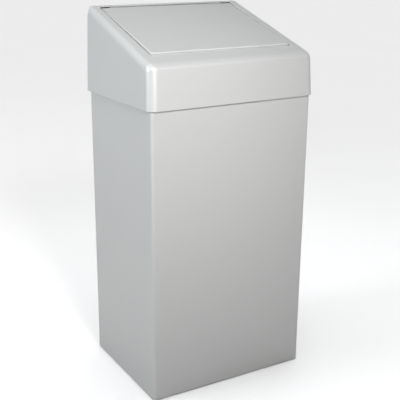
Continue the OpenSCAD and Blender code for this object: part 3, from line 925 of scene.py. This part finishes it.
def make_hood_shell():
    """Front, sides and slope in one sheet, with its hem, its flanges and its opening."""
    low, high, on_slope = hood_places()
    sheet = mm("sheet", "sheet")
    slope, front_lean = setting("hood", "slope"), setting("hood", "front_lean")
    bm, corners = block(low, high)
    front = on_slope.translation
    rear_top = front.z + (high.y - front.y) * math.tan(slope)
    for side in (False, True):
        sign = 1 if side else -1
        corners[side, False, True].co = (sign * side_x(front.z), front.y, front.z)
        corners[side, True, True].co = (sign * side_x(rear_top), high.y, rear_top)
    upright = [bm.edges.get((corners[s, False, False], corners[s, False, True]))
               for s in (False, True)]
    beside = [bm.edges.get((corners[s, False, True], corners[s, True, True]))
              for s in (False, True)]
    bend = bm.edges.get((corners[False, False, True], corners[True, False, True]))
    ridge = bm.edges.get((corners[False, True, True], corners[True, True, True]))
    bm.normal_update()
    base, back = face_towards(bm, (0, 0, -1)), face_towards(bm, (0, 1, 0))
    out_of_slope = on_slope.to_3x3().col[2]
    top = face_towards(bm, out_of_slope)
    remove_faces(bm, [base])

    # opening, with its turned-down edges
    half, flap_front, flap_end = flap_places()[1:]
    gap, lip = mm("hood", "gap"), mm("hood", "lip")
    start, end = flap_front - gap, flap_end + mm("hood", "rear_gap")
    to_slope = on_slope.inverted()
    first_ring = 30  # its inner corners are placed next
    bmesh.ops.inset_individual(bm, faces=[top], thickness=first_ring, use_even_offset=True)
    for vert in top.verts:
        place = to_slope @ vert.co
        at_rear = place.y > (start + end) / 2
        vert.co = on_slope @ Vector((math.copysign(half + gap, place.x),
                                     end if at_rear else start, 0))
    inner = top.edges[:]
    remove_faces(bm, [top])
    turned_down = [e for e in inner if (to_slope @ middle_of(e)).y < end - 1]
    extruded(bm, turned_down, out_of_slope * -lip)

    # flanges that the back plate is welded to
    flange, over_rim, first_ring = mm("hood", "back_flange"), 3.5, 10
    above = cad_box("body_wrap")[1].z + over_rim
    bmesh.ops.inset_individual(bm, faces=[back], thickness=first_ring, use_even_offset=True)
    for vert in back.verts:
        vert.co.x = math.copysign(high.x - flange, vert.co.x)
        vert.co.z = rear_top - mm("hood", "top_flange") if vert.co.z > front.z else low.z
    ring = [f for e in back.edges for f in e.link_faces if f is not back]
    remove_faces(bm, [back] + [f for f in ring if f.calc_center_median().z < low.z + 20])
    ring = [f for f in ring if f.is_valid]
    sides = [f for f in ring if abs(f.calc_center_median().x) > flange]
    bisected(bm, sides + [e for f in sides for e in f.edges], (0, 0, above), (0, 0, 1))
    remove_faces(bm, [f for f in bm.faces if f.calc_center_median().y > high.y - 0.01
                      and f.calc_center_median().z < above])
    stray = [v for v in bm.verts if not v.link_faces]
    bmesh.ops.delete(bm, geom=stray, context="VERTS")
    turned_out(bm, (0, -1, 0))

    corner, ridge_turn = mm("hood", "corner"), RIGHT_ANGLE + slope
    front_turn = RIGHT_ANGLE - slope - front_lean
    rear_upright = edges_where(bm, lambda mid, way: abs(way.z) > 0.9 and mid.y > high.y - 0.1
                               and mid.z > above and abs(mid.x) > high.x - flange + 2)
    fold = mm("sheet", "fold")
    lip_corners = [e for v in (v for e in turned_down for v in e.verts) for e in v.link_edges
                   if (to_slope @ middle_of(e)).z < -1 and len(e.link_faces) == 2]
    weigh(bm, [(upright, corner), (beside, corner),
               ([bend], mm("hood", "front_bend") * math.tan(front_turn / 2)),
               ([ridge], mm("hood", "ridge") * math.tan(ridge_turn / 2)),
               (rear_upright, mm("sheet", "back_corner")), (turned_down, fold),
               (lip_corners, fold)], corner)
    bm = modified(bm, weighted_bends(corner, 8))

    # hem, folded up inside the lower edge
    lower = [e for e in bm.edges if e.is_boundary
             and max(v.co.z for v in e.verts) < low.z + 0.01]
    ends = [v for v in {v for e in lower for v in e.verts}
            if sum(e in lower for e in v.link_edges) == 1]
    lower.append(bm.edges.new(ends))
    face = bmesh.ops.contextual_create(bm, geom=lower)["faces"][0]
    ring = bmesh.ops.inset_individual(bm, faces=[face], thickness=2 * sheet + 0.05,
                                      use_even_offset=True)["faces"]
    rear = high.y - 3 * sheet
    folded = [e for e in face.edges if min(v.co.y for v in e.verts) < rear]
    remove_faces(bm, [face] + [f for f in ring if f.calc_center_median().y > rear])
    extruded(bm, folded, (0, 0, mm("hood", "hem")))
    bmesh.ops.delete(bm, geom=[e for e in bm.edges if not e.link_faces], context="EDGES")
    turned_out(bm, out_of_slope)

    bush_hole, reach = 5.5, 150
    holes = moved(rod_shape(bush_hole, -reach, reach), across(pivot_place()[0]))
    bm = modified(bm, wall(sheet), cut_by(holes), soft_edges(mm("sheet", "soft_edge")))
    publish("hood_sheet", bm, "powder_coat", "hood", "hood_shell")


def make_hood_back():
    """Flat plate welded to the hood's flanges."""
    low, high = cad_box("hood_back")
    top = high.z - mm("hood", "ridge")
    bm, corners = block((low.x, low.y, low.z), (high.x, high.y, top))
    for key, vert in corners.items():
        if key[2]:
            vert.co.x = math.copysign(side_x(top), vert.co.x)
    crown = edges_where(bm, lambda mid, way: abs(way.y) > 0.9 and mid.z > top - 1)
    rounded(bm, crown, mm("hood", "corner") - 1, 8)
    publish("hood_back_plate", modified(bm, soft_edges(0.35)), "powder_coat", "hood",
            "hood_back")


def rest_path(node, axis, sign):
    """The outline of a rest: down the hood's wall, over the rim and down inside it."""
    low, high = cad_box(node)
    rim = cad_box("body_wrap")[1].z
    out = high[axis] if sign > 0 else -low[axis]
    inner = low[axis] if sign > 0 else -high[axis]
    lean = setting("hood", "side_lean" if axis == 0 else "front_lean")
    return [(out - (high.z - rim) * math.tan(lean), high.z), (out, rim),
            (inner + STRIP, rim), (inner + STRIP, low.z)]


def make_rests():
    """Bent strips that carry the hood on the rim."""
    for node, axis, sign, name in (("hood_rest_right", 0, 1, "rest_right"),
                                   ("hood_rest_left", 0, 1, "rest_left"),
                                   ("hood_rest_front", 1, -1, "rest_front")):
        pattern = "hood_rest_right" if axis == 0 else node
        low, high = cad_box(pattern)
        width = high[1 - axis] - low[1 - axis]
        bm = modified(bent_strip(rest_path(pattern, axis, sign), width, STRIP), wall(STRIP),
                      soft_edges(SMALL_EDGE))
        if axis == 0:
            moved(bm, Matrix.Translation((0, (low.y + high.y) / 2, 0)))
            if node.endswith("left"):
                mirrored(bm)
        else:
            moved(bm, Matrix.Rotation(-RIGHT_ANGLE, 4, "Z"))
        publish(name, bm, "zinc_sheet", "hood", node)


def opening_side():
    """From the middle to the outside of the opening's turned-down edge."""
    return flap_places()[1] + mm("hood", "gap") + mm("sheet", "sheet")


def bracket_shape():
    """The right bracket of the flap's rod, in the slope's frame."""
    pivot = pivot_place()[1]
    half = opening_side()
    thick, length_up, drop, foot = 2, 40, 34, 4.5
    bm = bent_strip([(half, -drop), (half, -1), (half + foot, -1)], length_up, thick)
    low_corners = [v for v in bm.verts if v.co.z < 0.5 - drop]
    rounded(bm, low_corners, 7, 5, "VERTICES")
    rear_foot = [v for v in bm.verts if v.co.x > half + foot - 0.1]
    rounded(bm, rear_foot, 1.2, 3, "VERTICES")
    moved(bm, Matrix.Translation((0, pivot.y, 0)))
    stop = hood_places()[2].inverted() @ cad_middle("stop_pins")
    at_pivot, far, bush_hole, clip_room = across((0, pivot.y, pivot.z)), half + 9, 4.35, 6.4
    bush = moved(rod_shape(bush_hole, half - 3, half + thick + 0.2), at_pivot)
    notch = moved(rod_shape(clip_room, half + thick + 0.1, far), at_pivot)
    pin = moved(rod_shape(STOP_PIN + 0.05, half - 3, far), across((0, stop.y, stop.z)))
    bm = modified(bm, wall(thick), cut_by(bush), cut_by(notch), cut_by(pin),
                  soft_edges(SMALL_EDGE))
    return moved(bm, hood_places()[2])


def make_brackets():
    """Brackets beside the opening, with their bushes and the flap's stop pins."""
    middle = pivot_place()[0]
    half = opening_side()
    low, high = cad_box("pivot_bush_right")
    stop, outer = cad_middle("stop_pins"), cad_box("stop_pins")[1].x
    bevel, neck, collar = ROD_BORE + 0.3, 4.3, 5.2
    for side, hand in ((1, "right"), (-1, "left")):
        bm = bracket_shape()
        publish("rod_bracket_" + hand, bm if side > 0 else mirrored(bm), "zinc_sheet", "hood",
                "pivot_bracket_" + hand)
        bm = turned([(ROD_BORE, low.x + 0.3), (bevel, low.x), (collar - 0.3, low.x),
                     (collar, low.x + 0.3), (collar, half - 0.1), (collar - 0.1, half),
                     (neck, half), (neck, high.x - 0.4), (neck - 0.3, high.x), (bevel, high.x),
                     (ROD_BORE, high.x - 0.3)], 40, True)
        moved(bm, across((0, middle.y, middle.z)))
        publish("rod_bush_" + hand, bm if side > 0 else mirrored(bm), "bush_nylon", "hood",
                "pivot_bush_" + hand)
    inner = 136.5
    bm = turned([(0, inner), (1.6, inner), (STOP_PIN, inner + 0.4), (STOP_PIN, half + 1.9),
                 (STOP_PIN, outer - 0.4), (1.6, outer), (0, outer)], 24)
    moved(bm, across((0, stop.y, stop.z)))
    publish("stop_pin_pair", both_sides(bm), "zinc_fastener", "hood", "stop_pins")


def make_tail_ledge():
    """Strip across the back of the opening, with the rubber buffers that the tail rests on."""
    on_slope = hood_places()[2]
    end = flap_places()[3] + mm("hood", "gap")
    back, shelf = end + 0.4, 12
    width = cad_box("tail_ledge")[1].x * 2
    bm = bent_strip([(end - shelf, -6), (back, -6), (back, -1), (back + 5, -1)], width, STRIP)
    bm = modified(bm, wall(STRIP), soft_edges(SMALL_EDGE))
    moved(bm, on_slope @ Matrix.Rotation(RIGHT_ANGLE, 4, "Z"))
    publish("tail_strip", bm, "zinc_sheet", "hood", "tail_ledge")
    radius, place = 4.5, end - shelf + 5.5
    bm = turned([(0, -6), (radius, -6), (radius, -5.4), (4.2, -3.5), (3.7, -3.02), (3, -2.9),
                 (0, -2.9)], 28)
    copied(bm, [on_slope @ Matrix.Translation((x, place, 0)) for x in BUFFER_PLACES])
    publish("tail_buffer_set", bm, "buffer_rubber", "hood", "tail_buffers", crease=50)


# ---- Flap ----


def make_flap():
    """Sheet flap with turned-down edges and ears round its rod."""
    frame_matrix, half, front, end = flap_places()
    lip, fold = mm("flap", "lip"), mm("flap", "fold")
    sheet = mm("sheet", "sheet")
    lip_end = end - mm("flap", "bar_back") + 1
    bm = block((-half, front, -lip), (half, end, 0))[0]
    remove_faces(bm, [face_towards(bm, (0, 0, -1)), face_towards(bm, (0, 1, 0))])
    bisected(bm, everything(bm), (0, lip_end, 0), (0, 1, 0))
    remove_faces(bm, [f for f in bm.faces if abs(f.normal.x) > 0.9
                      and f.calc_center_median().y > lip_end])
    edge = edges_where(bm, lambda mid, way: mid.z > -0.1 and mid.y < lip_end
                       and (abs(mid.x) > half - 1 or mid.y < front + 1))
    short = edges_where(bm, lambda mid, way: abs(way.z) > 0.9 and mid.y < front + 1)
    weigh(bm, [(edge, fold), (short, fold)], fold)
    turned_out(bm, (0, 0, 1))
    pivot = pivot_place()[1]
    ears = []
    for side in (-1, 1):
        ear = moved(rod_shape(mm("flap", "ear"), half - sheet, half, 48),
                    across((0, pivot.y, pivot.z)))
        bisected(ear, everything(ear), (0, 0, -4), (0, 0, 1), clear_outer=True)
        filled(ear)
        ears.append(ear if side > 0 else mirrored(ear))
    hole = moved(rod_shape(ROD_BORE, -half - 2, half + 2), across((0, pivot.y, pivot.z)))
    bm = modified(bm, weighted_bends(fold, 5), wall(sheet), cut_by(joined(*ears), "UNION"),
                  cut_by(hole), soft_edges(0.2))
    publish("flap_sheet", moved(bm, frame_matrix), "powder_coat", "flap", "flap_panel")


def make_rod():
    """Rod with a groove at each end, and the clips that hold it."""
    middle, end = pivot_place()[0], cad_box("pivot_rod")[1].x
    thick = 1
    inner = cad_box("rod_clips")[1].x - thick
    groove = (inner - 0.05, inner + thick + 0.05)
    outline = [(0, end), (ROD - 0.5, end), (ROD, end - 0.5), (ROD, groove[1]),
               (CLIP_GROOVE, groove[1]), (CLIP_GROOVE, groove[0]), (ROD, groove[0]), (ROD, 0)]
    outline += [(r, -x) for r, x in reversed(outline[:-1])]
    bm = moved(turned(list(reversed(outline)), 32), across((0, middle.y, middle.z)))
    publish("flap_rod", bm, "zinc_fastener", "flap", "pivot_rod")
    bm = rod_shape(5.4, inner, inner + thick, 48)
    seat = rod_shape(CLIP_GROOVE + 0.05, inner - 1, inner + thick + 1, 32)
    mouth = block((-0.2, -1.8, inner - 1), (8, 1.8, inner + thick + 1))[0]
    notches = copied(rod_shape(1.15, inner - 1, inner + thick + 1, 20),
                     [Matrix.Rotation(turn, 4, "Z") @ Matrix.Translation((3.1, 0, 0))
                      for turn in (math.radians(115), -math.radians(115))])
    bm = modified(bm, cut_by(seat), cut_by(mouth), cut_by(notches), soft_edges(0.12))
    tip = setting("hood", "slope") - setting("flap", "tilt")
    moved(bm, Matrix.Translation((0, middle.y, middle.z)) @ Matrix.Rotation(tip, 4, "X")
          @ Matrix.Rotation(RIGHT_ANGLE, 4, "Y"))
    publish("rod_clip_pair", both_sides(bm), "spring_steel", "flap", "rod_clips")


def make_counterweight():
    """Flat bar under the flap's tail, held by welded studs, washers and nuts."""
    frame_matrix, *_, end = flap_places()
    sheet, bar = mm("sheet", "sheet"), mm("flap", "bar_height")
    width, back = mm("flap", "bar_width"), mm("flap", "bar_back")
    reach = mm("flap", "bar_length") / 2
    low = -sheet - bar
    studs = [Matrix.Translation((x, end - back - width / 2, 0)) for x in STUD_PLACES]
    bm = block((-reach, end - back - width, low), (reach, end - back, -sheet))[0]
    holes = copied(turned([(0, low - 1), (4.2, low - 1), (4.2, low), (3.2, low + 1),
                           (3.2, -sheet + 1), (0, -sheet + 1)], 28), studs)
    rounded(bm, edges_where(bm, lambda mid, way: abs(way.x) > 0.9), 1.4, 4)
    bm = modified(bm, cut_by(holes), soft_edges(0.35))
    publish("counterweight", moved(bm, frame_matrix), "weight_steel", "flap",
            "counterweight_bar")
    washer, nut = 1.2, 5
    top, tip = low - washer - nut, low - washer - nut - 2
    bm = turned([(0, tip), (2.4, tip)] + threaded(3, tip + 0.6, low + 3, 1)
                + [(3, -sheet - 0.6), (3.15, -sheet), (0, -sheet)], 24)
    parts = [("stud_set", bm, "weight_studs")]
    bm = turned([(3.2, low), (3.2, low - washer), (6.7, low - washer), (7, low - washer + 0.3),
                 (7, low - 0.2), (6.8, low)], 40, True)
    parts += [("washer_set", bm, "weight_washers"),
              ("nut_set", hex_nut(5.5, top, top + nut, 3.05), "weight_nuts")]
    for name, bm, node in parts:
        publish(name, moved(copied(bm, studs), frame_matrix), "zinc_fastener", "flap", node)


# ---- Stage ----


def aimed(obj, place, target, roll=0.0):
    """Puts a camera or a light at a place, turned to look at its target."""
    back = (Vector(place) - Vector(target)).normalized()
    turn = back.to_track_quat("Z", "Y").to_matrix().to_4x4()
    obj.matrix_world = Matrix.Translation(place) @ turn @ Matrix.Rotation(roll, 4, "Z")
    return obj


def lit(name, kind, power, tone=(1, 1, 1), **facts):
    """A light of that kind, in the scene."""
    light = bpy.data.lights.new(name, kind)
    light.energy = power
    light.color = tone
    for fact, value in facts.items():
        setattr(light, fact, value)
    return in_scene(name, light)


def soft_box(name, place, target, size, power, spread=180, tone=(1, 1, 1)):
    """A square soft box. A small spread keeps its light near its aim."""
    obj = lit(name, "AREA", power, tone, size=size, spread=math.radians(spread))
    return aimed(obj, place, target)


def link_to(light, floor, state):
    """Lets a light fall on the floor alone, or on all but the floor."""
    group = bpy.data.collections.new(light.name + " " + state.lower())
    group.objects.link(floor)
    light.light_linking.receiver_collection = group
    group.collection_objects[0].light_linking.link_state = state


def make_stage():
    """Pale floor, soft lights and the camera."""
    bm = bmesh.new()
    bmesh.ops.create_grid(bm, x_segments=8, y_segments=8, size=60)
    mesh = mesh_of("floor", bm)
    mesh.materials.append(finish_of("pale_floor"))
    floor = in_scene("floor", mesh)
    floor.visible_diffuse = False

    stage = bpy.context.scene.bin_stage
    world = bpy.data.worlds.new("surroundings")
    bpy.context.scene.world = world
    world.use_nodes = True
    sky = world.node_tree.nodes["Background"]
    sky.inputs["Color"].default_value = (0.97, 0.98, 1, 1)
    sky.inputs["Strength"].default_value = stage.sky
    world.cycles_visibility.diffuse = False
    cool = (0.92, 0.98, 1.03)
    soft_box("key", (-0.75, -1.0, 1.25), (0, 0, 0.62), 0.6, stage.key)
    soft_box("hood", (-0.3, -1.8, 1.5), (-0.12, -0.1, 0.66), 0.6, stage.hood, 36)
    soft_box("side", (-1.8, 0.3, 1.2), (-0.16, 0, 0.6), 0.6, stage.side, 60, cool)
    soft_box("top", (0, -0.6, 2.4), (0, -0.6, 0), 2.5, stage.top, 60, cool)
    rear = soft_box("rear", (2.0, 1.6, 0.6), (0, 0, 0.35), 1.2, stage.rear)
    rear.visible_glossy = False
    link_to(rear, floor, "EXCLUDE")
    link_to(lit("ground", "SUN", stage.ground, angle=RIGHT_ANGLE), floor, "INCLUDE")

    low, high = cad_box("body_wrap")
    aim_left, aim_up = 80.35, 333.2
    target = Vector((-aim_left, (low.y + high.y) / 2, low.z + aim_up)) * MM
    turn, up = stage.azimuth, stage.height
    back = Vector((math.sin(turn) * math.cos(up), -math.cos(turn) * math.cos(up),
                   math.sin(up)))
    camera = bpy.data.cameras.new("camera")
    camera.sensor_width = 36
    camera.lens = stage.lens
    camera.shift_x = stage.shift
    obj = aimed(in_scene("camera", camera), target + back * stage.distance, target,
                stage.roll)
    bpy.context.scene.camera = obj
    bpy.context.scene.view_settings.view_transform = "Standard"


# ---- Operators ----


class BIN_OT_body_sheets(bpy.types.Operator):
    """Makes the wrapped front and sides, the rear sheet and the base tray"""

    bl_idname = "bin.body_sheets"
    bl_label = "Body Sheets"
    bl_options = {"REGISTER", "UNDO"}

    def execute(self, context):
        make_wrap()
        make_rear_panel()
        make_base_pan()
        return {"FINISHED"}


class BIN_OT_rivets(bpy.types.Operator):
    """Makes the blind rivets of the back"""

    bl_idname = "bin.rivets"
    bl_label = "Rivets"
    bl_options = {"REGISTER", "UNDO"}

    def execute(self, context):
        make_rivets()
        return {"FINISHED"}


class BIN_OT_feet(bpy.types.Operator):
    """Makes the feet with their screws and nuts"""

    bl_idname = "bin.feet"
    bl_label = "Feet"
    bl_options = {"REGISTER", "UNDO"}

    def execute(self, context):
        make_feet()
        make_foot_screws()
        return {"FINISHED"}


class BIN_OT_bag_frame(bpy.types.Operator):
    """Makes the bag wire and the tabs that it lies on"""

    bl_idname = "bin.bag_frame"
    bl_label = "Bag Frame"
    bl_options = {"REGISTER", "UNDO"}

    def execute(self, context):
        make_bag_frame()
        make_frame_tabs()
        return {"FINISHED"}


class BIN_OT_hood_shell(bpy.types.Operator):
    """Makes the folded sheet of the hood"""

    bl_idname = "bin.hood_shell"
    bl_label = "Hood Sheet"
    bl_options = {"REGISTER", "UNDO"}

    def execute(self, context):
        make_hood_shell()
        return {"FINISHED"}


class BIN_OT_hood_back(bpy.types.Operator):
    """Makes the back plate of the hood"""

    bl_idname = "bin.hood_back"
    bl_label = "Hood Back"
    bl_options = {"REGISTER", "UNDO"}

    def execute(self, context):
        make_hood_back()
        return {"FINISHED"}


class BIN_OT_rests(bpy.types.Operator):
    """Makes the strips that carry the hood on the rim"""

    bl_idname = "bin.rests"
    bl_label = "Rests"
    bl_options = {"REGISTER", "UNDO"}

    def execute(self, context):
        make_rests()
        return {"FINISHED"}


class BIN_OT_brackets(bpy.types.Operator):
    """Makes the rod's brackets and bushes and the stop pins"""

    bl_idname = "bin.brackets"
    bl_label = "Brackets"
    bl_options = {"REGISTER", "UNDO"}

    def execute(self, context):
        make_brackets()
        return {"FINISHED"}


class BIN_OT_tail_ledge(bpy.types.Operator):
    """Makes the strip and the buffers under the flap's tail"""

    bl_idname = "bin.tail_ledge"
    bl_label = "Tail Ledge"
    bl_options = {"REGISTER", "UNDO"}

    def execute(self, context):
        make_tail_ledge()
        return {"FINISHED"}


class BIN_OT_flap(bpy.types.Operator):
    """Makes the flap"""

    bl_idname = "bin.flap"
    bl_label = "Flap"
    bl_options = {"REGISTER", "UNDO"}

    def execute(self, context):
        make_flap()
        return {"FINISHED"}


class BIN_OT_rod(bpy.types.Operator):
    """Makes the flap's rod and its clips"""

    bl_idname = "bin.rod"
    bl_label = "Rod"
    bl_options = {"REGISTER", "UNDO"}

    def execute(self, context):
        make_rod()
        return {"FINISHED"}


class BIN_OT_counterweight(bpy.types.Operator):
    """Makes the counterweight with its studs, washers and nuts"""

    bl_idname = "bin.counterweight"
    bl_label = "Counterweight"
    bl_options = {"REGISTER", "UNDO"}

    def execute(self, context):
        make_counterweight()
        return {"FINISHED"}


class BIN_OT_stage(bpy.types.Operator):
    """Makes the floor, the lights and the camera"""

    bl_idname = "bin.stage"
    bl_label = "Stage"
    bl_options = {"REGISTER", "UNDO"}

    def execute(self, context):
        make_stage()
        return {"FINISHED"}


OPERATORS = (BIN_OT_body_sheets, BIN_OT_rivets, BIN_OT_feet, BIN_OT_bag_frame,
             BIN_OT_hood_shell, BIN_OT_hood_back, BIN_OT_rests, BIN_OT_brackets,
             BIN_OT_tail_ledge, BIN_OT_flap, BIN_OT_rod, BIN_OT_counterweight, BIN_OT_stage)


class BIN_PT_panel(bpy.types.Panel):
    """Lists the operators and the settings of the litter bin"""

    bl_idname = "BIN_PT_panel"
    bl_label = "Litter Bin"
    bl_space_type = "VIEW_3D"
    bl_region_type = "UI"
    bl_category = "Bin"

    def draw(self, context):
        for operator in OPERATORS:
            self.layout.operator(operator.bl_idname)
        for name, group in SETTINGS.items():
            box = self.layout.box()
            box.label(text=group.__doc__)
            for prop in group.__annotations__:
                box.prop(getattr(context.scene, name), prop)


def register():
    for item in (*SETTINGS.values(), *OPERATORS, BIN_PT_panel):
        bpy.utils.register_class(item)
    for name, group in SETTINGS.items():
        setattr(bpy.types.Scene, name, PointerProperty(type=group))


def unregister():
    for name in SETTINGS:
        delattr(bpy.types.Scene, name)
    for item in (BIN_PT_panel, *reversed(OPERATORS), *reversed(SETTINGS.values())):
        bpy.utils.unregister_class(item)


def main():
    register()
    for operator in OPERATORS:
        group, name = operator.bl_idname.split(".")
        getattr(getattr(bpy.ops, group), name)()


if __name__ == "__main__":
    main()
